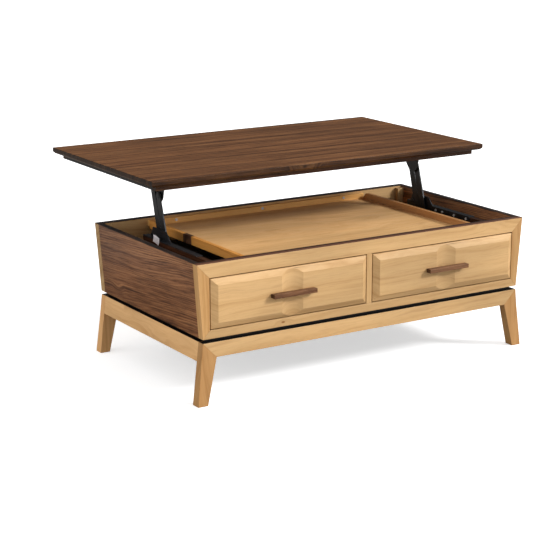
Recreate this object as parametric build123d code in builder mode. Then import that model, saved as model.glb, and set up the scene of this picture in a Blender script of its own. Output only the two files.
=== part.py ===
"""Lift top coffee table: a tapered wooden case on a splayed base, two drawers and a top that swings up.

The origin is on the floor, midway across the width and midway between the drawer pulls and the rear
edge of the raised top. X runs across the table, +Y to its back and +Z up. Lengths are millimetres.
The top is modelled raised and swung back, the position its lift arms hold by themselves.
"""

import math
import os

from build123d import *

os.makedirs("parts", exist_ok=True)

# --- overall size -------------------------------------------------------------------------------
raised_depth = 923.9
raised_height = 628.65
top_width = 1235.0
top_depth = 692.9
top_thickness = 19.0
pull_depth = 20.0
field_proud = 12.0
case_depth = 657.9
case_front = (pull_depth + field_proud - raised_depth) / 2

# --- case ---------------------------------------------------------------------------------------
case_bottom_z = 199.8
rim_z = 425.4
edging = 1.5
edging_gap = 0.1
wall_top_z = rim_z - edging
case_half_top = 600.7
case_half_bottom = 583.3
side_thickness = 19.0
frame_thickness = 25.4
opening_half = 560.0
centre_stile_half = 9.5
opening_low_z = 225.5
opening_high_z = 381.0
board = 12.0
shelf_z = 329.0

# --- base ---------------------------------------------------------------------------------------
base_top_z = 188.6
leg_splay = 21.6
leg_thickness = 27.0
foot_width = 33.0
foot_forward = 6.5
foot_back = 26.5
apron_bottom_z = 142.0
apron_corner_x = 538.0
side_apron_bottom_z = 130.6
side_apron_thickness = 24.0
plinth_inset = 16.0
base_block = 52.0
base_block_height = 34.0

# --- storage tray -------------------------------------------------------------------------------
tray_half = 413.0
tray_wall = 13.0
tray_bottom_z = 393.0
tray_floor = 6.0
tray_top_z = 419.5
cleat = 12.5
cleat_height = 19.0
cleat_screw_height = 11.4
rear_block = 19.0
bearer_x = 300.0
inset_front = 345.0
inset_length = 52.0
screw_columns = (-328.0, 0.0, 328.0)

# --- drawers ------------------------------------------------------------------------------------
front_gap = 3.0
front_thickness = 19.0
bevel = 19.0
scoop_half = 37.0
scoop_deep = 9.5
pull_length = 151.0
pull_height = 12.5
pull_edge = 0.6
box_gap = 5.0
box_low_z = 241.0
box_high_z = 325.0
box_back = 560.0
box_bottom = 6.0
slide_wall = 3.0
slide_width = 26.0
slide_low_z = 228.0
slide_top_z = 238.0
slide_inset = 16.0
rail_width = 18.0
rail_top_z = 237.0
rail_back = 600.0

# --- lift mechanism -----------------------------------------------------------------------------
lift_length = 192.8
raised_angle = math.radians(107.0)
closed_angle = math.radians(5.0)
front_top_pivot = (428.0, 540.0)
pivot_offset = (37.4, 25.2)
link_width = 26.0
link_belly = 28.0
link_belly_along = 0.3
link_tip_width = 23.0
link_inner_x = 491.0
link_thickness = 4.0
plate_inner_x = 499.0
plate_thickness = 3.0
bracket_inner_x = 484.0
bracket_flange_x = 460.0
pin_radius = 5.0
pin_clearance = 0.05
collar_radius = 8.0
pin_head = 1.2
face_gap = 0.3
runner_width = 19.0
runner_top_z = 408.0
rail_front = 145.0
rail_rear = 482.0
hump_top_z = 439.0
hump_low = (336.0, 468.0)
hump_high = (366.0, 452.0)
stop_radius = 5.0
stop_along = 45.0
rail_screws = (161.0, 224.0, 286.0, 322.0, 385.0)
rail_screw_z = 401.5
screw_radius = 4.5
screw_head = 2.0
bracket_span = (395.0, 520.0)
bracket_screws = (408.0, 450.0, 502.0)
bracket_lobes = ((428.0, 540.0), (466.0, 560.0), (440.0, 529.0))
lobe_radius = 17.0

# --- top ----------------------------------------------------------------------------------------
neck_inset = 25.0
neck_gap = 0.3
neck_width = 19.0
edge_chamfer = 6.0

# Worked out from the dimensions above.
slab_low_z = raised_height - top_thickness
slab_front = raised_depth - top_depth
lift_drop = lift_length * (math.sin(raised_angle) - math.sin(closed_angle))
neck_low_z = rim_z + neck_gap + lift_drop
shelf_top_z = shelf_z + board
field_low_y = case_front - field_proud
scoop_radius = (scoop_half**2 + scoop_deep**2) / (2 * scoop_deep)
link_u = (-math.cos(raised_angle), math.sin(raised_angle))
front_base_pivot = (
    front_top_pivot[0] - lift_length * link_u[0],
    front_top_pivot[1] - lift_length * link_u[1],
)
rear_base_pivot = (front_base_pivot[0] + pivot_offset[0], front_base_pivot[1] + pivot_offset[1])
rear_top_pivot = (front_top_pivot[0] + pivot_offset[0], front_top_pivot[1] + pivot_offset[1])
sides = {"left": -1, "right": 1}


def depth(distance):
    """Y of a point this far behind the case's front face."""
    return case_front + distance


def case_half(z):
    """Half width of the case, outside, at a height."""
    along = (z - case_bottom_z) / (rim_z - case_bottom_z)
    return case_half_bottom + along * (case_half_top - case_half_bottom)


def leg_outer(z):
    """Distance of a leg's outer face from the middle of the table at a height."""
    return case_half_bottom + leg_splay * (base_top_z - z) / base_top_z


def finish(piece, label):
    """Names a finished piece and writes it to its own file."""
    piece.part.label = label
    export_step(piece.part, f"parts/{label}.step")


def front_board(label, outline, y_front, y_back):
    """A board whose outline is drawn as seen from the front, in X and Z."""
    with BuildPart() as piece:
        with BuildSketch(Plane.XZ.offset(-y_back)):
            Polygon(*outline, align=None)
        extrude(amount=y_back - y_front)
    finish(piece, label)


def plain_board(label, x, y, z):
    """A rectangular board between two limits on each axis."""
    with BuildPart() as piece:
        with BuildSketch(Plane.XY.offset(z[0])):
            with Locations((sum(x) / 2, sum(y) / 2)):
                Rectangle(x[1] - x[0], y[1] - y[0])
        extrude(amount=z[1] - z[0])
    finish(piece, label)


def ordered(side, near, far):
    """Two distances from the middle plane as an ascending X range on one side."""
    return tuple(sorted((side * near, side * far)))


# --- base: legs, aprons, corner blocks and the recessed plinth ------------------------------------
def build_leg(label, side, at_back):
    """A splayed leg, mitred at its top to the front or rear apron; the foot is its widest end."""
    mirror_y = depth(case_depth / 2)
    with BuildPart() as leg:
        with BuildSketch(Plane.XZ.offset(-depth(leg_thickness + foot_forward))):
            Polygon(
                (side * case_half_bottom, base_top_z),
                (side * leg_outer(0), 0),
                (side * (leg_outer(0) - foot_width), 0),
                (side * apron_corner_x, apron_bottom_z),
                align=None,
            )
        extrude(amount=leg_thickness + 3 * foot_forward)
        with BuildSketch(Plane.YZ.offset(-top_width / 2)):
            Polygon(
                (depth(0), base_top_z),
                (depth(leg_thickness), base_top_z),
                (depth(foot_back), 0),
                (depth(-foot_forward), 0),
                (depth(0), apron_bottom_z),
                align=None,
            )
        extrude(amount=top_width, mode=Mode.INTERSECT)
        if at_back:
            mirror(about=Plane.XZ.offset(-mirror_y), mode=Mode.REPLACE)
    finish(leg, label)


def build_base():
    for name, side in sides.items():
        build_leg(f"front_leg_{name}", side, False)
        build_leg(f"rear_leg_{name}", side, True)
        outer_top = case_half_bottom
        outer_low = leg_outer(side_apron_bottom_z)
        front_board(
            f"side_apron_{name}",
            [
                (side * outer_top, base_top_z),
                (side * outer_low, side_apron_bottom_z),
                (side * (outer_low - side_apron_thickness), side_apron_bottom_z),
                (side * (outer_top - side_apron_thickness), base_top_z),
            ],
            depth(leg_thickness),
            depth(case_depth - leg_thickness),
        )
    apron = [
        (-case_half_bottom, base_top_z),
        (case_half_bottom, base_top_z),
        (apron_corner_x, apron_bottom_z),
        (-apron_corner_x, apron_bottom_z),
    ]
    front_board("front_apron", apron, depth(0), depth(leg_thickness))
    front_board("rear_apron", apron, depth(case_depth - leg_thickness), depth(case_depth))
    plinth_half = case_half_bottom - plinth_inset
    plain_board(
        "recessed_plinth",
        (-plinth_half, plinth_half),
        (depth(plinth_inset), depth(case_depth - plinth_inset)),
        (base_top_z, case_bottom_z),
    )
    corner = (case_half_bottom - side_apron_thickness, case_depth / 2 - leg_thickness)
    with BuildPart() as blocks:
        with BuildSketch(Plane.XY.offset(base_top_z - base_block_height)):
            for across in (-1, 1):
                for along in (-1, 1):
                    x, y = across * corner[0], depth(case_depth / 2) + along * corner[1]
                    Polygon((x, y), (x - across * base_block, y), (x, y - along * base_block), align=None)
        extrude(amount=base_block_height)
    finish(blocks, "base_corner_blocks")


# --- case: mitred front frame, slanted sides, back, bottom, shelf and dark rim edging -------------
def build_case():
    low, high = case_bottom_z, wall_top_z
    front, back = depth(0), depth(frame_thickness)
    front_board(
        "front_top_rail",
        [
            (-case_half(high), high),
            (-opening_half, opening_high_z),
            (opening_half, opening_high_z),
            (case_half(high), high),
        ],
        front,
        back,
    )
    front_board(
        "front_bottom_rail",
        [
            (-case_half(low), low),
            (case_half(low), low),
            (opening_half, opening_low_z),
            (-opening_half, opening_low_z),
        ],
        front,
        back,
    )
    inner_back = depth(case_depth - frame_thickness)
    for name, side in sides.items():
        front_board(
            f"front_stile_{name}",
            [
                (side * case_half(high), high),
                (side * case_half(low), low),
                (side * opening_half, opening_low_z),
                (side * opening_half, opening_high_z),
            ],
            front,
            back,
        )
        front_board(
            f"case_side_{name}",
            [
                (side * case_half(high), high),
                (side * case_half(low), low),
                (side * (case_half(low) - side_thickness), low),
                (side * (case_half(high) - side_thickness), high),
            ],
            back,
            inner_back,
        )
    plain_board(
        "front_centre_stile",
        (-centre_stile_half, centre_stile_half),
        (front, back),
        (opening_low_z, opening_high_z),
    )
    front_board(
        "rear_panel",
        [
            (-case_half(high), high),
            (-case_half(low), low),
            (case_half(low), low),
            (case_half(high), high),
        ],
        inner_back,
        depth(case_depth),
    )
    for label, z in (("case_bottom", case_bottom_z), ("mechanism_shelf", shelf_z)):
        half_low = case_half(z) - side_thickness
        half_high = case_half(z + board) - side_thickness
        front_board(
            label,
            [(-half_high, z + board), (-half_low, z), (half_low, z), (half_high, z + board)],
            back,
            inner_back,
        )
    plain_board(
        "centre_divider",
        (-centre_stile_half, centre_stile_half),
        (back, inner_back),
        (case_bottom_z + board, shelf_z),
    )
    half = case_half(rim_z)
    strip_y = depth(frame_thickness / 2), depth(case_depth - frame_thickness / 2)
    with BuildPart() as rim:
        with BuildSketch(Plane.XY.offset(wall_top_z)):
            for y in strip_y:
                with Locations((0, y)):
                    Rectangle(2 * half, frame_thickness)
            for side in sides.values():
                with Locations((side * (half - side_thickness / 2), depth(case_depth / 2))):
                    Rectangle(side_thickness, case_depth - 2 * frame_thickness - 2 * edging_gap)
        extrude(amount=edging)
    finish(rim, "rim_edging")


# --- tray under the top, with its bearers, cleats and screws --------------------------------------
def build_tray():
    front, back = depth(frame_thickness), depth(case_depth - frame_thickness)
    outer = tray_half + tray_wall
    plain_board(
        "tray_floor",
        (-tray_half, tray_half),
        (front, back),
        (tray_bottom_z, tray_bottom_z + tray_floor),
    )
    with BuildPart() as left_wall:
        with BuildSketch(Plane.YZ.offset(-outer)):
            Polygon(
                (front, tray_bottom_z),
                (back - cleat, tray_bottom_z),
                (back - cleat, tray_top_z),
                (front, tray_top_z),
                align=None,
            )
            with Locations((depth(inset_front + inset_length / 2), (tray_bottom_z + tray_top_z) / 2)):
                Rectangle(inset_length, tray_top_z - tray_bottom_z, mode=Mode.SUBTRACT)
        extrude(amount=tray_wall)
    finish(left_wall, "tray_wall_left")
    plain_board(
        "tray_wall_inset",
        (-outer, -tray_half),
        (depth(inset_front), depth(inset_front + inset_length)),
        (tray_bottom_z, tray_top_z),
    )
    sloped_back = tray_top_z - tray_bottom_z
    with BuildPart() as right_wall:
        with BuildSketch(Plane.YZ.offset(tray_half)):
            Polygon(
                (front, tray_bottom_z),
                (back, tray_bottom_z),
                (back - sloped_back, tray_top_z),
                (front, tray_top_z),
                align=None,
            )
        extrude(amount=tray_wall)
    finish(right_wall, "tray_wall_right")
    floor_z = tray_bottom_z + tray_floor
    plain_board(
        "tray_rear_cleat", (-outer, tray_half), (back - cleat, back), (floor_z, floor_z + cleat_height)
    )
    plain_board(
        "tray_front_cleat",
        (-tray_half, tray_half),
        (front, front + cleat),
        (floor_z, floor_z + cleat_height),
    )
    with BuildPart() as bearers:
        with BuildSketch(Plane.XY.offset(shelf_top_z)):
            with Locations((-bearer_x, (front + back) / 2), (bearer_x, (front + back) / 2)):
                Rectangle(side_thickness, back - front)
        extrude(amount=tray_bottom_z - shelf_top_z)
    finish(bearers, "tray_bearers")
    with BuildPart() as corners:
        for side in sides.values():
            with BuildSketch(Plane.XZ.offset(-back)):
                inner_high = case_half(tray_top_z) - side_thickness
                inner_low = case_half(shelf_top_z) - side_thickness
                Polygon(
                    (side * (inner_low - rear_block), shelf_top_z),
                    (side * inner_low, shelf_top_z),
                    (side * inner_high, tray_top_z),
                    (side * (inner_low - rear_block), tray_top_z),
                    align=None,
                )
            extrude(amount=rear_block)
    finish(corners, "rear_corner_blocks")


# --- drawers and their slides --------------------------------------------------------------------
def drawer_limits(side):
    """X range of one drawer's front."""
    near = centre_stile_half + front_gap
    return ordered(side, near, opening_half - front_gap)


def build_drawer(name, side):
    x_low, x_high = drawer_limits(side)
    middle = (x_low + x_high) / 2
    half = (x_high - x_low) / 2
    low, high = opening_low_z + front_gap, opening_high_z - front_gap
    centre_z = (low + high) / 2
    with BuildPart() as front:
        with BuildSketch(Plane.XZ.offset(-depth(front_thickness))):
            with Locations((middle, centre_z)):
                Rectangle(2 * half, high - low)
        extrude(amount=front_thickness)
        with BuildSketch(Plane.XZ.offset(-depth(0))):
            with Locations((middle, centre_z)):
                Rectangle(2 * half, high - low)
        with BuildSketch(Plane.XZ.offset(-field_low_y)):
            with Locations((middle, centre_z)):
                Rectangle(2 * (half - bevel), high - low - 2 * bevel)
        loft()
        with BuildSketch(Plane.XY.offset(low)):
            with Locations((middle, field_low_y + scoop_deep - scoop_radius)):
                Circle(scoop_radius)
        extrude(amount=high - low, mode=Mode.SUBTRACT)
    finish(front, f"drawer_front_{name}")

    with BuildPart() as pull:
        with BuildSketch(Plane.XZ.offset(-field_low_y)):
            with Locations((middle, centre_z)):
                Rectangle(pull_length, pull_height)
        extrude(amount=pull_depth)
        chamfer(pull.edges(), pull_edge)
    finish(pull, f"drawer_pull_{name}")

    rear = depth(box_back)
    face = depth(front_thickness)
    outer = half - (box_gap - front_gap)
    inner = outer - board
    with BuildPart() as box:
        with BuildSketch(Plane.XY.offset(box_low_z)):
            for edge in (-1, 1):
                with Locations((middle + edge * (outer - board / 2), (face + rear) / 2)):
                    Rectangle(board, rear - face)
            with Locations((middle, rear - board / 2)):
                Rectangle(2 * inner, board)
        extrude(amount=box_high_z - box_low_z)
    finish(box, f"drawer_box_{name}")
    plain_board(
        f"drawer_bottom_{name}",
        (middle - inner, middle + inner),
        (face, rear - board),
        (box_low_z + box_bottom, box_low_z + 2 * box_bottom),
    )
    channel_x = outer - slide_inset
    with BuildPart() as channels:
        with BuildSketch(Plane.XZ.offset(-rear)):
            for edge in (-1, 1):
                with Locations((middle + edge * channel_x, (slide_low_z + box_low_z) / 2)):
                    Rectangle(slide_width, box_low_z - slide_low_z)
                with Locations((middle + edge * channel_x, (slide_low_z + slide_top_z) / 2)):
                    inside = slide_width - 2 * slide_wall
                    Rectangle(inside, slide_top_z - slide_low_z, mode=Mode.SUBTRACT)
        extrude(amount=rear - face)
    finish(channels, f"drawer_slide_channels_{name}")


def build_slide_rails():
    """The four fixed rails that the drawers' channels run on."""
    outer = (opening_half - centre_stile_half) / 2 - box_gap
    front, back = depth(frame_thickness), depth(rail_back)
    low = case_bottom_z + board
    with BuildPart() as rails:
        with BuildSketch(Plane.XY.offset(low)):
            for side in sides.values():
                middle = side * (opening_half + centre_stile_half) / 2
                for edge in (-1, 1):
                    with Locations((middle + edge * (outer - slide_inset), (front + back) / 2)):
                        Rectangle(rail_width, back - front)
        extrude(amount=rail_top_z - low)
    finish(rails, "drawer_slide_rails")


# --- lift mechanism ------------------------------------------------------------------------------
def flat_on(side, near, thickness):
    """A plane facing +X at the lower X of a plate on one side, for a profile in Y and Z."""
    return Plane.YZ.offset(min(side * near, side * (near + thickness)))


def build_link(label, side, base, tip):
    """A flat steel link, widest above its lower pivot and slimmer at its upper end."""
    belly = tuple(low + link_belly_along * (high - low) for low, high in zip(base, tip))
    with BuildPart() as link:
        with BuildSketch(flat_on(side, link_inner_x, link_thickness)) as outline:
            for centre, width in ((base, link_width), (belly, link_belly), (tip, link_tip_width)):
                with Locations((depth(centre[0]), centre[1])):
                    Circle(width / 2)
            make_hull(outline.edges())
            with Locations((depth(base[0]), base[1]), (depth(tip[0]), tip[1])):
                Circle(pin_radius + pin_clearance, mode=Mode.SUBTRACT)
        extrude(amount=link_thickness)
    finish(link, label)


def pins(label, pivots, plate_x, direction):
    """Shouldered pivot pins on both sides: collar against the plate, shaft through the link, head."""
    shaft_start = link_inner_x - face_gap
    shaft_end = link_inner_x + link_thickness + face_gap
    with BuildPart() as group:
        for side in sides.values():
            if direction > 0:
                steps = [
                    (plate_x, shaft_start, collar_radius),
                    (shaft_start, shaft_end, pin_radius),
                    (shaft_end, shaft_end + pin_head, collar_radius),
                ]
            else:
                steps = [
                    (shaft_end, plate_x, collar_radius),
                    (shaft_start, shaft_end, pin_radius),
                    (shaft_start - pin_head, shaft_start, collar_radius),
                ]
            for near, far, radius in steps:
                with BuildSketch(flat_on(side, near, far - near)):
                    with Locations(*[(depth(y), z) for y, z in pivots]):
                        Circle(radius)
                extrude(amount=far - near)
    finish(group, label)


def build_base_plate(name, side):
    """Angle on the runner: a flange over its top and a cheek inside it, raised where the stop is."""
    with BuildPart() as plate:
        with BuildSketch(flat_on(side, plate_inner_x, plate_thickness)):
            Polygon(
                (depth(rail_front), shelf_top_z),
                (depth(rail_rear), shelf_top_z),
                (depth(rail_rear), runner_top_z),
                (depth(hump_low[1]), runner_top_z),
                (depth(hump_high[1]), hump_top_z),
                (depth(hump_high[0]), hump_top_z),
                (depth(hump_low[0]), runner_top_z),
                (depth(rail_front), runner_top_z),
                align=None,
            )
        extrude(amount=plate_thickness)
        flange = ordered(side, plate_inner_x, plate_inner_x + plate_thickness + runner_width)
        with BuildSketch(Plane.XY.offset(runner_top_z)):
            with Locations((sum(flange) / 2, depth((rail_front + rail_rear) / 2))):
                Rectangle(flange[1] - flange[0], rail_rear - rail_front)
        extrude(amount=plate_thickness)
    finish(plate, f"lift_base_plate_{name}")


def build_bracket(name, side):
    """Angle under the top: a flange against the slab and a cheek that reaches down to the pivots."""
    span = (depth(bracket_span[0]), depth(bracket_span[1]))
    middle_y = sum(span) / 2
    with BuildPart() as bracket:
        with BuildSketch(flat_on(side, bracket_inner_x, plate_thickness)) as cheek:
            with Locations(*[(depth(y), z) for y, z in bracket_lobes]):
                Circle(lobe_radius)
            with Locations((middle_y, slab_low_z - plate_thickness / 2)):
                Rectangle(span[1] - span[0], plate_thickness)
            make_hull(cheek.edges())
        extrude(amount=plate_thickness)
        flange = ordered(side, bracket_flange_x, bracket_inner_x + plate_thickness)
        with BuildSketch(Plane.XY.offset(slab_low_z - plate_thickness)):
            with Locations((sum(flange) / 2, middle_y)):
                Rectangle(flange[1] - flange[0], span[1] - span[0])
        extrude(amount=plate_thickness)
    finish(bracket, f"lift_top_bracket_{name}")


def build_lift():
    for name, side in sides.items():
        build_link(f"front_link_{name}", side, front_base_pivot, front_top_pivot)
        build_link(f"rear_link_{name}", side, rear_base_pivot, rear_top_pivot)
        build_base_plate(name, side)
        build_bracket(name, side)
    runner_mid = plate_inner_x + plate_thickness + runner_width / 2
    with BuildPart() as runners:
        with BuildSketch(Plane.XY.offset(shelf_top_z)):
            for side in sides.values():
                with Locations((side * runner_mid, depth((frame_thickness + rail_rear) / 2))):
                    Rectangle(runner_width, rail_rear - frame_thickness)
        extrude(amount=runner_top_z - shelf_top_z)
    finish(runners, "lift_runners")
    pins("base_pivot_pins", (front_base_pivot, rear_base_pivot), plate_inner_x, -1)
    pins("top_pivot_pins", (front_top_pivot, rear_top_pivot), bracket_inner_x + plate_thickness, 1)
    stop_off = link_belly / 2 + stop_radius + face_gap
    stop = (
        rear_base_pivot[0] + stop_along * link_u[0] + stop_off * link_u[1],
        rear_base_pivot[1] + stop_along * link_u[1] - stop_off * link_u[0],
    )
    stop_length = plate_inner_x - link_inner_x + pin_head
    with BuildPart() as stops:
        for side in sides.values():
            with BuildSketch(flat_on(side, link_inner_x - pin_head, stop_length)):
                with Locations((depth(stop[0]), stop[1])):
                    Circle(stop_radius)
            extrude(amount=stop_length)
    finish(stops, "lift_stop_pins")
    with BuildPart() as screws:
        for side in sides.values():
            with BuildSketch(flat_on(side, plate_inner_x - screw_head, screw_head)):
                with Locations(*[(depth(y), rail_screw_z) for y in rail_screws]):
                    Circle(screw_radius)
            extrude(amount=screw_head)
        cleat_z = tray_bottom_z + tray_floor + cleat_screw_height
        with BuildSketch(Plane.XZ.offset(-depth(case_depth - frame_thickness - cleat))):
            with Locations(*[(x, cleat_z) for x in screw_columns]):
                Circle(screw_radius)
        extrude(amount=screw_head)
    finish(screws, "case_screws")
    under_flange = slab_low_z - plate_thickness
    screw_x = (bracket_flange_x + bracket_inner_x) / 2
    with BuildPart() as screws:
        with BuildSketch(Plane.XY.offset(under_flange - screw_head)):
            for side in sides.values():
                with Locations(*[(side * screw_x, depth(y)) for y in bracket_screws]):
                    Circle(screw_radius)
        extrude(amount=screw_head)
    finish(screws, "top_bracket_screws")


# --- top: slab and the frame under it ------------------------------------------------------------
def build_top():
    with BuildPart() as slab:
        with BuildSketch(Plane.XY.offset(slab_low_z)):
            with Locations((0, depth((slab_front + raised_depth) / 2))):
                Rectangle(top_width, top_depth)
        extrude(amount=top_thickness)
        chamfer(slab.faces().sort_by(Axis.Z)[0].edges(), edge_chamfer)
    finish(slab, "top_slab")
    half = top_width / 2 - neck_inset
    near, far = slab_front + neck_inset, raised_depth - neck_inset
    z = (neck_low_z, slab_low_z)
    plain_board("neck_front_rail", (-half, half), (depth(near), depth(near + neck_width)), z)
    plain_board("neck_rear_rail", (-half, half), (depth(far - neck_width), depth(far)), z)
    for name, side in sides.items():
        plain_board(
            f"neck_side_rail_{name}",
            ordered(side, half - neck_width, half),
            (depth(near + neck_width), depth(far - neck_width)),
            z,
        )


build_base()
build_case()
build_tray()
for drawer_name, drawer_side in sides.items():
    build_drawer(drawer_name, drawer_side)
build_slide_rails()
build_lift()
build_top()
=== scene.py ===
import math

import bmesh
import bpy
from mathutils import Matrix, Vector


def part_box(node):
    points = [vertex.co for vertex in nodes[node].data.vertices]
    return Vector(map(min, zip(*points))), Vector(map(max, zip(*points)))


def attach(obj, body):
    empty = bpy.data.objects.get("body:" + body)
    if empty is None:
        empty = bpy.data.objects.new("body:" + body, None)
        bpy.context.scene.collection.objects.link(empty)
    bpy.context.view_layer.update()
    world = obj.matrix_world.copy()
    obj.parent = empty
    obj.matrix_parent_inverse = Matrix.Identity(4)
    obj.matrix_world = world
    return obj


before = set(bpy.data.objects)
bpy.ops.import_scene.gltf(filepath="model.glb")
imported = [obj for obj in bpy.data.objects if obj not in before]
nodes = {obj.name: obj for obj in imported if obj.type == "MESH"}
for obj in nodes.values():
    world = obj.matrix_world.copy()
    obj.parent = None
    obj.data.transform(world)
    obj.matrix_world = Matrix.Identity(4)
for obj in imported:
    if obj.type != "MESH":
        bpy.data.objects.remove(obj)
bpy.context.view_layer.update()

# Lift top coffee table: wood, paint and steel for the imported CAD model, a blank tag, floor, light and camera.
# Metres, Z up, X across the table, +Y to its back, as in the CAD.

X, Y, Z = 0, 1, 2
LOW, HIGH = 0, 1
sides = ("left", "right")
case_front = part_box("front_top_rail")[LOW][Y]
case_half_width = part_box("case_side_right")[HIGH][X]
slab_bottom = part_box("top_slab")[LOW][Z]


def behind_front(x, depth, z):
    """Point at a depth behind the front of the case, which is how places on the table are measured here."""
    return x, case_front + depth, z


# How a knot's roundness is measured: half as fast along the grain as across it, so that knots are oval.
KNOT_SHAPE = {X: (0.5, 1.0, 1.0), Y: (1.0, 0.5, 1.0), Z: (1.0, 1.0, 0.5)}


def srgb(red, green, blue):
    """Linear RGBA of a colour given in 0-255 display values."""

    def linear(value):
        share = value / 255
        if share <= 0.04045:
            return share / 12.92
        return ((share + 0.055) / 1.055) ** 2.4

    return linear(red), linear(green), linear(blue), 1.0


# --- a short way to write shader nodes ------------------------------------------------------------
class Shader:
    """A node material under construction. Its methods add a node and return the node's output socket."""

    def __init__(self, name):
        self.material = bpy.data.materials.new(name)
        self.material.use_nodes = True
        self.tree = self.material.node_tree
        self.tree.nodes.clear()

    def add(self, kind, **settings):
        node = self.tree.nodes.new(kind)
        for key, value in settings.items():
            setattr(node, key, value)
        return node

    def feed(self, socket, value):
        if isinstance(value, bpy.types.NodeSocket):
            self.tree.links.new(value, socket)
        else:
            socket.default_value = value

    def math(self, operation, *values, clamp=False):
        node = self.add("ShaderNodeMath", operation=operation, use_clamp=clamp)
        for socket, value in zip(node.inputs, values):
            self.feed(socket, value)
        return node.outputs[0]

    def vector(self, operation, *values):
        node = self.add("ShaderNodeVectorMath", operation=operation)
        for socket, value in zip(node.inputs, values):
            self.feed(socket, value)
        return node.outputs["Value" if operation in ("LENGTH", "DISTANCE", "DOT_PRODUCT") else "Vector"]

    def scaled(self, vector, scale):
        node = self.add("ShaderNodeVectorMath", operation="MULTIPLY")
        self.feed(node.inputs[0], vector)
        node.inputs[1].default_value = scale
        return node.outputs["Vector"]

    def noise(self, vector, scale, detail=3.0, rough=0.55, distortion=0.0):
        node = self.add("ShaderNodeTexNoise")
        self.feed(node.inputs["Vector"], vector)
        node.inputs["Scale"].default_value = scale
        node.inputs["Detail"].default_value = detail
        node.inputs["Roughness"].default_value = rough
        node.inputs["Distortion"].default_value = distortion
        return node.outputs[0]

    def spread(self, value, low, high, to_low=0.0, to_high=1.0):
        """Maps a range onto another, clamped."""
        node = self.add("ShaderNodeMapRange", clamp=True, interpolation_type="SMOOTHSTEP")
        self.feed(node.inputs["Value"], value)
        node.inputs["From Min"].default_value = low
        node.inputs["From Max"].default_value = high
        node.inputs["To Min"].default_value = to_low
        node.inputs["To Max"].default_value = to_high
        return node.outputs["Result"]

    def socket(self, sockets, identifier):
        return next(socket for socket in sockets if socket.identifier == identifier)

    def mix(self, factor, first, second, blend="MIX"):
        node = self.add("ShaderNodeMix", data_type="RGBA", blend_type=blend)
        self.feed(self.socket(node.inputs, "Factor_Float"), factor)
        self.feed(self.socket(node.inputs, "A_Color"), first)
        self.feed(self.socket(node.inputs, "B_Color"), second)
        return self.socket(node.outputs, "Result_Color")

    def place(self):
        """Point on the object in metres, fixed to the piece."""
        return self.add("ShaderNodeTexCoord").outputs["Object"]

    def facing(self):
        """Direction that the surface faces, fixed to the piece."""
        return self.add("ShaderNodeTexCoord").outputs["Normal"]

    def parts(self, vector):
        node = self.add("ShaderNodeSeparateXYZ")
        self.feed(node.inputs[0], vector)
        return node.outputs[0], node.outputs[1], node.outputs[2]

    def join(self, x, y, z):
        node = self.add("ShaderNodeCombineXYZ")
        for socket, value in zip(node.inputs, (x, y, z)):
            self.feed(socket, value)
        return node.outputs[0]

    def edge(self, radius, low=0.02, high=0.25):
        """1 on sharp edges and 0 on flat faces."""
        rounded = self.add("ShaderNodeBevel", samples=4)
        rounded.inputs["Radius"].default_value = radius
        normal = self.add("ShaderNodeNewGeometry").outputs["Normal"]
        aligned = self.vector("DOT_PRODUCT", rounded.outputs["Normal"], normal)
        return self.spread(self.math("SUBTRACT", 1.0, aligned), low, high)

    def bump(self, height, distance, strength=1.0):
        node = self.add("ShaderNodeBump")
        self.feed(node.inputs["Height"], height)
        node.inputs["Distance"].default_value = distance
        node.inputs["Strength"].default_value = strength
        return node.outputs["Normal"]

    def surface(self, colour, roughness, normal=None, **fixed):
        """Ends the material with a Principled BSDF. Fixed values go straight onto its sockets."""
        shader = self.add("ShaderNodeBsdfPrincipled")
        self.feed(shader.inputs["Base Color"], colour)
        self.feed(shader.inputs["Roughness"], roughness)
        if normal is not None:
            self.feed(shader.inputs["Normal"], normal)
        for key, value in fixed.items():
            shader.inputs[key.replace("_", " ")].default_value = value
        output = self.add("ShaderNodeOutputMaterial")
        self.tree.links.new(shader.outputs[0], output.inputs["Surface"])
        return self.material


# --- wood -----------------------------------------------------------------------------------------
# Four colours, the width of a year's ring in metres, how strongly each kind of mark shows from 0 to 1, how
# bright end grain is, and the roughness.
WALNUT = {
    "light": srgb(172, 127, 92),
    "middle": srgb(124, 82, 54),
    "dark": srgb(74, 44, 27),
    "streak": srgb(48, 28, 18),
    "ring": 0.0062,
    "ring_dark": 0.7,
    "figure": 0.8,
    "streaks": 0.7,
    "fibres": 0.8,
    "pores": 0.5,
    "end_grain": 0.45,
    "rough": 0.44,
}
ALDER = {
    "light": srgb(207, 169, 119),
    "middle": srgb(193, 153, 102),
    "dark": srgb(170, 126, 76),
    "streak": srgb(146, 98, 54),
    "ring": 0.012,
    "ring_dark": 0.19,
    "figure": 0.6,
    "streaks": 0.32,
    "fibres": 0.3,
    "pores": 0.16,
    "end_grain": 0.8,
    "rough": 0.48,
}
FINE_WALNUT = {
    **WALNUT,
    "light": srgb(186, 140, 103),
    "dark": srgb(62, 36, 22),
    "ring": 0.005,
    "ring_dark": 0.9,
}
WHITE = (1.0, 1.0, 1.0)
# Where the glued strips are counted from, well outside the table.
STRIP_START = 5.0
# Black of the painted boards, also used as painted shade on the faces of the base that look up.
BLACK_PAINT_AND_SHADE = srgb(22, 20, 19)


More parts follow.
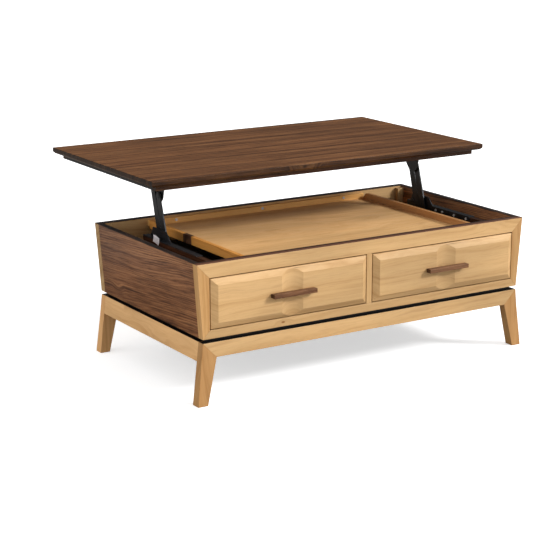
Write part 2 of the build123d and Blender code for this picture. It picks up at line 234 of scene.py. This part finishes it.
def wood(name, kind, along, seed, pith=(0.11, 0.05), tilt=(0.05, 0.03), wander=0.03, tint=WHITE, plank=None,
         scatter=0.16, knots=(), painted_edge_shade=1.0, painted_shade_top=False):
    """Solid wood: growth rings round a pith that runs along one axis, with streaks, fibres and pores.

    pith is how far the ring centre lies from the piece across the grain and through it, and tilt how much it
    leans each way, which makes the arches. plank is the axis across the grain and the width of glued strips,
    each from another place in the tree, up to scatter away. Each knot is a point and a radius, and the grain
    bends round it. The edge tone darkens the faces that don't lie flat: painted shade, for the shade on a
    slab's edges. The black top paints the faces that look up black: painted shade, for the dark under the
    case on the base.
    """
    s = Shader(name)
    place = s.place()
    x, y, z = s.parts(place)
    length, across, through = {X: (x, y, z), Y: (y, z, x), Z: (z, x, y)}[along]
    facing = s.parts(s.facing())
    end_on = s.math("ABSOLUTE", facing[along])
    flat_on = s.math("ABSOLUTE", facing[Z])
    shade = 1.0
    if plank:
        axis, width = plank
        strips = s.math("DIVIDE", s.math("ADD", (x, y, z)[axis], STRIP_START), width)
        strip = s.math("FLOOR", strips)
        off_middle = s.math("SUBTRACT", s.math("SUBTRACT", strips, strip), 0.5)
        chance = s.add("ShaderNodeTexWhiteNoise", noise_dimensions="1D")
        s.feed(chance.inputs["W"], s.math("ADD", strip, seed * 7.3))
        pick = s.parts(chance.outputs["Color"])
        length = s.math("MULTIPLY_ADD", pick[0], 3.0, length)
        across = s.math("MULTIPLY_ADD", pick[1], scatter, s.math("MULTIPLY", off_middle, width))
        through = s.math("MULTIPLY_ADD", pick[2], 0.3 * scatter, through)
        shade = s.math("MULTIPLY_ADD", pick[1], 0.16, 0.92)
    knot_heart = 0.0
    for point, size in knots:
        shape = KNOT_SHAPE[along]
        heart = [distance * share for distance, share in zip(point, shape)]
        near = s.vector("DISTANCE", s.scaled(place, shape), heart)
        pull = s.spread(near, size, 5 * size, 1.0, 0.0)
        across = s.math("MULTIPLY_ADD", pull, 2.5 * size, across)
        knot_heart = s.math("MAXIMUM", knot_heart, s.spread(near, 0.4 * size, 1.1 * size, 1.0, 0.0))
    seed_shift = (seed * 1.37, seed * 0.71, seed * 0.43)
    grain = s.vector("ADD", s.join(length, across, through), seed_shift)

    # Distance from the pith, with a slow wander that is longest along the grain.
    lean_a = s.math("MULTIPLY_ADD", length, tilt[0], s.math("ADD", across, pith[0]))
    lean_t = s.math("MULTIPLY_ADD", length, tilt[1], s.math("ADD", through, pith[1]))
    wander_a = s.math("SUBTRACT", s.noise(s.scaled(grain, (2.2, 8.0, 8.0)), 1.0, 2.0), 0.5)
    wander_t = s.math("SUBTRACT", s.noise(s.scaled(grain, (3.1, 11.0, 11.0)), 1.3, 2.0), 0.5)
    ring_a = s.math("MULTIPLY_ADD", wander_a, wander, lean_a)
    ring_t = s.math("MULTIPLY_ADD", wander_t, wander, lean_t)
    radius = s.vector("LENGTH", s.join(0.0, ring_a, ring_t))
    fine_wander = s.math("SUBTRACT", s.noise(s.scaled(grain, (9.0, 90.0, 90.0)), 1.0, 2.0), 0.5)
    radius = s.math("MULTIPLY_ADD", fine_wander, 0.3 * kind["ring"], radius)

    # Tone follows the rings: broad bands of years, then one dark line at the end of each.
    band = s.join(s.math("MULTIPLY", length, 0.8), s.math("MULTIPLY", radius, 60.0), seed)
    years = s.noise(band, 1.0, 4.0, 0.6)
    colour = s.mix(s.spread(years, 0.32, 0.62, 0.0, kind["figure"]), kind["light"], kind["middle"])
    colour = s.mix(s.spread(years, 0.52, 0.74, 0.0, kind["figure"]), colour, kind["dark"])
    ring = s.math("FRACT", s.math("DIVIDE", radius, kind["ring"]))
    late = s.math("POWER", ring, 3.0)
    strength = s.spread(s.noise(s.scaled(grain, (3.0, 14.0, 14.0)), 1.0, 2.0), 0.35, 0.65, 0.2, 1.0)
    ring_line = s.math("MULTIPLY", s.math("MULTIPLY", late, strength), kind["ring_dark"])
    colour = s.mix(ring_line, colour, kind["dark"])

    # Mineral streaks, fibres and open pores, each thinner than the last, flowing with the rings.
    flow = s.vector("ADD", s.join(length, radius, ring_a), seed_shift)
    streaks = s.spread(s.noise(s.scaled(flow, (3.6, 85.0, 12.0)), 1.0, 3.0), 0.56, 0.74)
    colour = s.mix(s.math("MULTIPLY", streaks, kind["streaks"]), colour, kind["streak"])
    fibre = s.noise(s.scaled(flow, (9.0, 330.0, 45.0)), 1.0, 4.0, 0.65)
    colour = s.mix(s.spread(fibre, 0.45, 0.75, 0.0, kind["fibres"]), colour, kind["dark"])
    colour = s.mix(s.spread(fibre, 0.5, 0.25, 0.0, kind["fibres"]), colour, kind["light"])
    pore = s.spread(s.noise(s.scaled(grain, (40.0, 900.0, 900.0)), 1.0, 1.0), 0.62, 0.74)
    colour = s.mix(s.math("MULTIPLY", pore, kind["pores"]), colour, kind["streak"])
    if knots:
        colour = s.mix(knot_heart, colour, kind["streak"])

    # Tone drifts from place to place, rubbed edges are a little lighter, and end grain is darker.
    cloud = s.noise(s.scaled(grain, (1.3, 4.0, 4.0)), 1.4, 2.0)
    value = s.math("MULTIPLY", s.spread(cloud, 0.3, 0.7, 0.88, 1.12), shade)
    value = s.math("MULTIPLY", value, s.spread(end_on, 0.75, 0.97, 1.0, kind["end_grain"]))
    # Painted shade: faces that don't lie flat are darkened by the edge tone, for the shade on the slab's edges
    # and chamfer.
    value = s.math("MULTIPLY", value, s.spread(flat_on, 0.8, 0.98, painted_edge_shade, 1.0))
    colour = s.mix(s.math("MULTIPLY", s.edge(0.0016), 0.2), colour, kind["light"])
    colour = s.mix(1.0, colour, s.join(*[s.math("MULTIPLY", value, share) for share in tint]), "MULTIPLY")
    # Painted shade: with the black top set, faces that look up turn black, for the dark under the case.
    if painted_shade_top:
        colour = s.mix(s.spread(facing[Z], 0.8, 0.95), colour, BLACK_PAINT_AND_SHADE)

    roughness = s.math("ADD", s.spread(fibre, 0.3, 0.7, -0.05, 0.08), kind["rough"])
    height = s.math("SUBTRACT", s.math("MULTIPLY_ADD", fibre, 0.5, s.math("MULTIPLY", late, 0.25)), pore)
    return s.surface(colour, roughness, s.bump(height, 0.00025, 0.6), Specular_IOR_Level=0.22)


def painted_wood(name, colour, seed, front=None):
    """Dark satin paint on wood: brush-fine unevenness, and bare brown wood just showing at the edges.

    front is the colour along the table's front, if it differs. It is painted light: a lighter colour for the
    light that the front edge catches.
    """
    s = Shader(name)
    grain = s.vector("ADD", s.place(), (seed, seed * 0.5, 0.0))
    fibre = s.noise(s.scaled(grain, (12.0, 160.0, 160.0)), 1.0, 3.0)
    cloud = s.noise(grain, 9.0, 3.0)
    shade = s.mix(s.spread(cloud, 0.3, 0.7), colour, srgb(34, 30, 28))
    # Painted light: along the front the colour turns lighter, for the light that the front edge catches.
    if front:
        depth = s.math("SUBTRACT", s.parts(s.place())[Y], case_front)
        shade = s.mix(s.spread(depth, 0.008, 0.02, 1.0, 0.0), shade, front)
    shade = s.mix(s.math("MULTIPLY", s.edge(0.0012), 0.4), shade, srgb(70, 50, 38))
    roughness = s.spread(fibre, 0.3, 0.7, 0.42, 0.58)
    return s.surface(shade, roughness, s.bump(fibre, 0.0002, 0.5), Specular_IOR_Level=0.4)


def black_steel():
    """Satin black powder coat with its fine orange peel, rubbed to steel along the edges; the light edges are
    partly wear and partly painted highlight along the links' edges.
    """
    s = Shader("black_steel")
    place = s.place()
    peel = s.noise(place, 900.0, 2.0)
    cloud = s.noise(place, 30.0, 4.0)
    # Wear and painted highlight: in patches the edges turn light steel.
    wear_and_highlight = s.math("MULTIPLY", s.edge(0.0012), s.spread(cloud, 0.42, 0.62))
    colour = s.mix(s.spread(cloud, 0.3, 0.7), srgb(26, 28, 31), srgb(38, 40, 44))
    colour = s.mix(s.math("MULTIPLY", wear_and_highlight, 0.7), colour, srgb(150, 152, 156))
    roughness = s.math("ADD", s.spread(cloud, 0.3, 0.7, 0.36, 0.46), s.math("MULTIPLY", wear_and_highlight, -0.08))
    return s.surface(colour, roughness, s.bump(peel, 0.00015, 0.5), Metallic=0.35, Specular_IOR_Level=0.5)


def zinc_steel():
    """Bright zinc plate, drawn along its length, with a duller bloom in patches."""
    s = Shader("zinc_steel")
    place = s.place()
    drawn = s.noise(s.scaled(place, (40.0, 12.0, 900.0)), 1.0, 2.0)
    bloom = s.noise(place, 60.0, 4.0)
    colour = s.mix(s.spread(bloom, 0.35, 0.65), srgb(232, 233, 234), srgb(198, 201, 206))
    roughness = s.math("ADD", s.spread(drawn, 0.3, 0.7, -0.06, 0.08), s.spread(bloom, 0.3, 0.7, 0.22, 0.38))
    return s.surface(colour, roughness, s.bump(drawn, 0.0001, 0.4), Metallic=0.5)


def tag_paper():
    """Blank white coated paper, a little creased."""
    s = Shader("tag_paper")
    place = s.place()
    crease = s.noise(place, 90.0, 3.0)
    colour = s.mix(s.spread(crease, 0.3, 0.7), srgb(236, 236, 240), srgb(214, 216, 224))
    return s.surface(colour, s.spread(crease, 0.3, 0.7, 0.45, 0.6), s.bump(crease, 0.0006, 0.6))


def dress(name, material):
    """Gives a CAD node one material in all its slots."""
    slots = nodes[name].data.materials
    slots.clear()
    slots.append(material)


def soften(name, width):
    """Rounds the sharp edges of a CAD node's shown mesh slightly."""
    node = nodes[name]
    weld = node.modifiers.new("weld", "WELD")
    weld.merge_threshold = 0.00001
    bevel = node.modifiers.new("soft edges", "BEVEL")
    bevel.width = width
    bevel.segments = 2
    bevel.limit_method = "ANGLE"
    bevel.angle_limit = math.radians(32)
    bevel.harden_normals = True


# --- walnut: top slab, the rails under its long edges, the case sides, the pulls and the tray inset -------
SLAB_KNOT = (behind_front(-0.085, 0.227, slab_bottom + 0.012), 0.007)
SIDE_KNOT = (behind_front(-case_half_width, 0.53, 0.235), 0.006)
NECK_TINT = (0.36, 0.33, 0.31)
PULL_TINT = (0.62, 0.58, 0.55)
# The right side is tinted lighter than the left: painted light, for the light on its inner face inside the
# case.
SIDE_TINTS = {"left": (0.76, 0.62, 0.48), "right": (1.0, 0.84, 0.68)}
# The slab's edges and chamfer get painted shade from the edge tone.
slab_wood = wood("walnut_slab", FINE_WALNUT, X, 1.0, pith=(0.22, -0.56), tilt=(0.01, 0.01), wander=0.02,
                 painted_edge_shade=0.4, tint=(0.57, 0.46, 0.31), plank=(Y, 0.115), knots=(SLAB_KNOT,))
dress("top_slab", slab_wood)
for number, name in enumerate(("neck_front_rail", "neck_rear_rail")):
    dress(name, wood(f"walnut_{name}", WALNUT, X, 2.0 + number, tint=NECK_TINT))
for number, (side, out) in enumerate(zip(sides, (-1, 1))):
    # The pith runs just inside the board, which gives it arches.
    pith = (0.0, -out * case_half_width + 0.01)
    side_wood = wood(f"walnut_side_{side}", FINE_WALNUT, Y, 5.0 + number, pith=pith, tilt=(0.05, 0.035),
                     wander=0.012, tint=SIDE_TINTS[side], plank=(Z, 0.13), scatter=0.02, knots=(SIDE_KNOT,))
    dress(f"case_side_{side}", side_wood)
    dress(f"drawer_pull_{side}", wood(f"walnut_pull_{side}", WALNUT, X, 9.0 + number, tint=PULL_TINT))
dress("lift_runners", wood("walnut_runners", WALNUT, Y, 14.0, tint=(0.18, 0.14, 0.12)))
dress("tray_wall_inset", wood("walnut_inset", WALNUT, Z, 12.0, tint=(0.55, 0.5, 0.5)))

# --- alder outside: the frame, the drawer fronts, the rear panel and the base -----------------------------
along_x = ("front_top_rail", "front_bottom_rail", "rear_panel", "front_apron", "rear_apron",
           "drawer_front_left", "drawer_front_right")
along_y = ("side_apron_left", "side_apron_right")
along_z = ("front_stile_left", "front_stile_right", "front_centre_stile", "front_leg_left", "front_leg_right",
           "rear_leg_left", "rear_leg_right")
FRONT_LEG_TINT = (0.78, 0.67, 0.56)
SIDE_APRON_TINT = (1.38, 1.31, 1.27)
OUTER_TINTS = {
    "front_stile_left": (0.92, 0.84, 0.74),
    "front_stile_right": (0.95, 0.87, 0.78),
    "front_leg_left": FRONT_LEG_TINT,
    "front_leg_right": FRONT_LEG_TINT,
    # Painted light: the rear left leg is tinted lighter than the other legs, for light that reaches it under
    # the table.
    "rear_leg_left": (1.55, 1.4, 1.33),
    "side_apron_left": SIDE_APRON_TINT,
    "side_apron_right": SIDE_APRON_TINT,
}
OUTER_KNOTS = {
    "front_top_rail": ((behind_front(0.48, 0.0, 0.432), 0.011),),
    "front_bottom_rail": ((behind_front(-0.31, 0.0, 0.213), 0.004),),
}
for axis, names in ((X, along_x), (Y, along_y), (Z, along_z)):
    for number, name in enumerate(names):
        tint = OUTER_TINTS.get(name, WHITE)
        knots = OUTER_KNOTS.get(name, ())
        seed = 20.0 + 3.1 * number + 11 * axis
        # The legs and aprons get painted shade: their faces that look up are black.
        in_base = "leg" in name or "apron" in name
        board = wood(f"alder_{name}", ALDER, axis, seed, tilt=(0.04, 0.024), tint=tint, knots=knots,
                     painted_shade_top=in_base)
        dress(name, board)

# --- alder inside -----------------------------------------------------------------------------------------
inner_x = ("tray_floor", "tray_rear_cleat", "tray_front_cleat", "case_bottom", "drawer_bottom_left",
           "drawer_bottom_right", "base_corner_blocks")
inner_y = ("tray_wall_left", "tray_wall_right", "tray_bearers", "centre_divider", "drawer_box_left",
           "drawer_box_right")
inner_z = ("rear_corner_blocks",)
INNER_TINTS = {
    # Painted light: the tray floor is lighter than the other alder, for the light that reaches the tray under
    # the raised top.
    "tray_floor": (1.25, 1.2, 1.14),
    # The rear cleat's yellow is the board's own; its extra lightness is painted light, for the light at the
    # back of the tray.
    "tray_rear_cleat": (1.35, 1.22, 0.9),
    "tray_wall_left": (1.25, 0.9, 0.45),
    # Painted shade: the right tray wall is darker, for the shade on its inner face.
    "tray_wall_right": (0.78, 0.6, 0.47),
}
left_wall_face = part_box("tray_wall_left")[HIGH][X]
INNER_KNOTS = {"tray_wall_left": ((behind_front(left_wall_face, 0.098, 0.412), 0.004),)}
for axis, names in ((X, inner_x), (Y, inner_y), (Z, inner_z)):
    for number, name in enumerate(names):
        tint = INNER_TINTS.get(name, WHITE)
        knots = INNER_KNOTS.get(name, ())
        seed = 60.0 + 2.3 * number + 9 * axis
        dress(name, wood(f"alder_{name}", ALDER, axis, seed, tint=tint, knots=knots))

# --- black paint and edging -------------------------------------------------------------------------------
painted = ("neck_side_rail_left", "neck_side_rail_right", "recessed_plinth", "mechanism_shelf")
for number, name in enumerate(painted):
    dress(name, painted_wood(f"black_{name}", BLACK_PAINT_AND_SHADE, 1.0 + number))
# The edging's lighter brown along the front is painted light; elsewhere it keeps its own dark colour.
dress("rim_edging", painted_wood("dark_edging", srgb(62, 44, 34), 7.0, front=srgb(104, 66, 46)))

# --- steel ------------------------------------------------------------------------------------------------
steel = black_steel()
zinc = zinc_steel()
for name in nodes:
    if "link" in name or name.startswith("lift_") and name != "lift_runners" or name.endswith("_pins"):
        dress(name, steel)
    elif "screws" in name or "slide" in name:
        dress(name, zinc)

# --- soft edges -------------------------------------------------------------------------------------------
SMALL_EDGE = 0.0003
STEEL_EDGE = 0.0006
WOOD_EDGE = 0.0009
for name in nodes:
    if "screws" in name or "slide" in name or name.endswith("_pins") or name == "rim_edging":
        soften(name, SMALL_EDGE)
    elif "link" in name or "plate" in name or "bracket" in name:
        soften(name, STEEL_EDGE)
    else:
        soften(name, WOOD_EDGE)

# --- blank tag on the left runner -------------------------------------------------------------------------
TAG_WIDTH = 0.037
TAG_HEIGHT = 0.024
TAG_THICKNESS = 0.0006
TAG_LEAN = math.radians(11)
TAG_CURL = 0.0012
TAG_CORNER = 0.06
tag_middle = behind_front(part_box("lift_runners")[LOW][X] - TAG_THICKNESS, 0.393, 0.411)


def make_tag():
    """Thin white card with rounded corners, whose two ends curl away from the runner."""
    shape = bmesh.new()
    bmesh.ops.create_grid(shape, x_segments=24, y_segments=16, size=1.0)
    for point in shape.verts:
        u, v, _ = point.co
        inward = 1.0 - TAG_CORNER * (u * v) ** 6
        along = 0.5 * TAG_WIDTH * u * inward
        up = 0.5 * TAG_HEIGHT * v * inward
        point.co = (
            tag_middle[X] - TAG_CURL * u * u * (v * v + 0.5),
            tag_middle[Y] - along * math.cos(TAG_LEAN) - up * math.sin(TAG_LEAN),
            tag_middle[Z] + up * math.cos(TAG_LEAN) - along * math.sin(TAG_LEAN),
        )
    mesh = bpy.data.meshes.new("blank_tag")
    shape.to_mesh(mesh)
    shape.free()
    tag = bpy.data.objects.new("blank_tag", mesh)
    bpy.context.scene.collection.objects.link(tag)
    thick = tag.modifiers.new("card", "SOLIDIFY")
    thick.thickness = TAG_THICKNESS
    for face in mesh.polygons:
        face.use_smooth = True
    mesh.materials.append(tag_paper())
    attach(tag, "table")


make_tag()

# --- floor, light and camera ------------------------------------------------------------------------------
FLOOR_SIZE = 40.0
ROOM_LIGHT = 0.59
ROOM_MIRRORED = 0.12
ROOM_SEEN = 1.0
FLOOR_BOUNCE = srgb(176, 174, 171)
FLOOR_GLOW = 0.55
KEY_LIGHT = 2.3
KEY_SOFTNESS = 11.0
WIDE_LIGHT = 0.95
WIDE_SOFTNESS = 70.0
KEY_FROM = (1.3, -1.2, 1.0)
SIDE_LIGHT = 0.9
SIDE_SOFTNESS = 60.0
SIDE_FROM = (-1.0, 0.1, 0.3)
bpy.ops.mesh.primitive_plane_add(size=FLOOR_SIZE, location=(0, 0, 0))
floor = bpy.context.object
floor.name = "floor"

# The floor is a lit white table: bright where the camera sees it, a pale bounce for everything else.
paper = Shader("floor_paper")
ray = paper.add("ShaderNodeLightPath")
speck = paper.noise(paper.place(), 3.0, 4.0)
seen = paper.mix(speck, srgb(252, 252, 252), srgb(249, 249, 250))
tone = paper.mix(ray.outputs["Is Camera Ray"], FLOOR_BOUNCE, seen)
glow = paper.math("MULTIPLY", ray.outputs["Is Camera Ray"], FLOOR_GLOW)
floor.data.materials.append(
    paper.surface(tone, 0.9, Emission_Color=(1.0, 1.0, 1.0, 1.0), Specular_IOR_Level=0.0)
)
principled = next(node for node in paper.tree.nodes if node.type == "BSDF_PRINCIPLED")
paper.feed(principled.inputs["Emission Strength"], glow)

# The room is white. What shines reflects less of it, or the dark wood would look milky.
world = bpy.data.worlds.new("studio")
bpy.context.scene.world = world
world.use_nodes = True
background = world.node_tree.nodes["Background"]
background.inputs["Color"].default_value = (1.0, 1.0, 1.0, 1.0)
room_ray = world.node_tree.nodes.new("ShaderNodeLightPath")
level = ROOM_LIGHT
for output, strength in (("Is Glossy Ray", ROOM_MIRRORED), ("Is Camera Ray", ROOM_SEEN)):
    switch = world.node_tree.nodes.new("ShaderNodeMapRange")
    switch.inputs["To Max"].default_value = strength
    world.node_tree.links.new(room_ray.outputs[output], switch.inputs["Value"])
    if isinstance(level, float):
        switch.inputs["To Min"].default_value = level
    else:
        world.node_tree.links.new(level, switch.inputs["To Min"])
    level = switch.outputs["Result"]
world.node_tree.links.new(level, background.inputs["Strength"])


def far_light(name, direction, strength, softness):
    """A distant lamp that shines from one direction, with the angle it fills in degrees."""
    light = bpy.data.lights.new(name, "SUN")
    light.energy = strength
    light.angle = math.radians(softness)
    lamp = bpy.data.objects.new(name, light)
    lamp.rotation_euler = Vector(direction).to_track_quat("Z", "Y").to_euler()
    bpy.context.scene.collection.objects.link(lamp)


far_light("key", KEY_FROM, KEY_LIGHT, KEY_SOFTNESS)
far_light("wide key", KEY_FROM, WIDE_LIGHT, WIDE_SOFTNESS)
far_light("side", SIDE_FROM, SIDE_LIGHT, SIDE_SOFTNESS)

camera_data = bpy.data.cameras.new("camera")
camera_data.lens = 106.2
camera_data.sensor_width = 36.0
camera = bpy.data.objects.new("camera", camera_data)
camera.location = (-2.7842, -4.34715, 1.5404)
camera.rotation_euler = (math.radians(75.63), 0.0, math.radians(-32.08))
bpy.context.scene.collection.objects.link(camera)
bpy.context.scene.camera = camera

view = bpy.context.scene.view_settings
view.view_transform = "Standard"
view.look = "None"
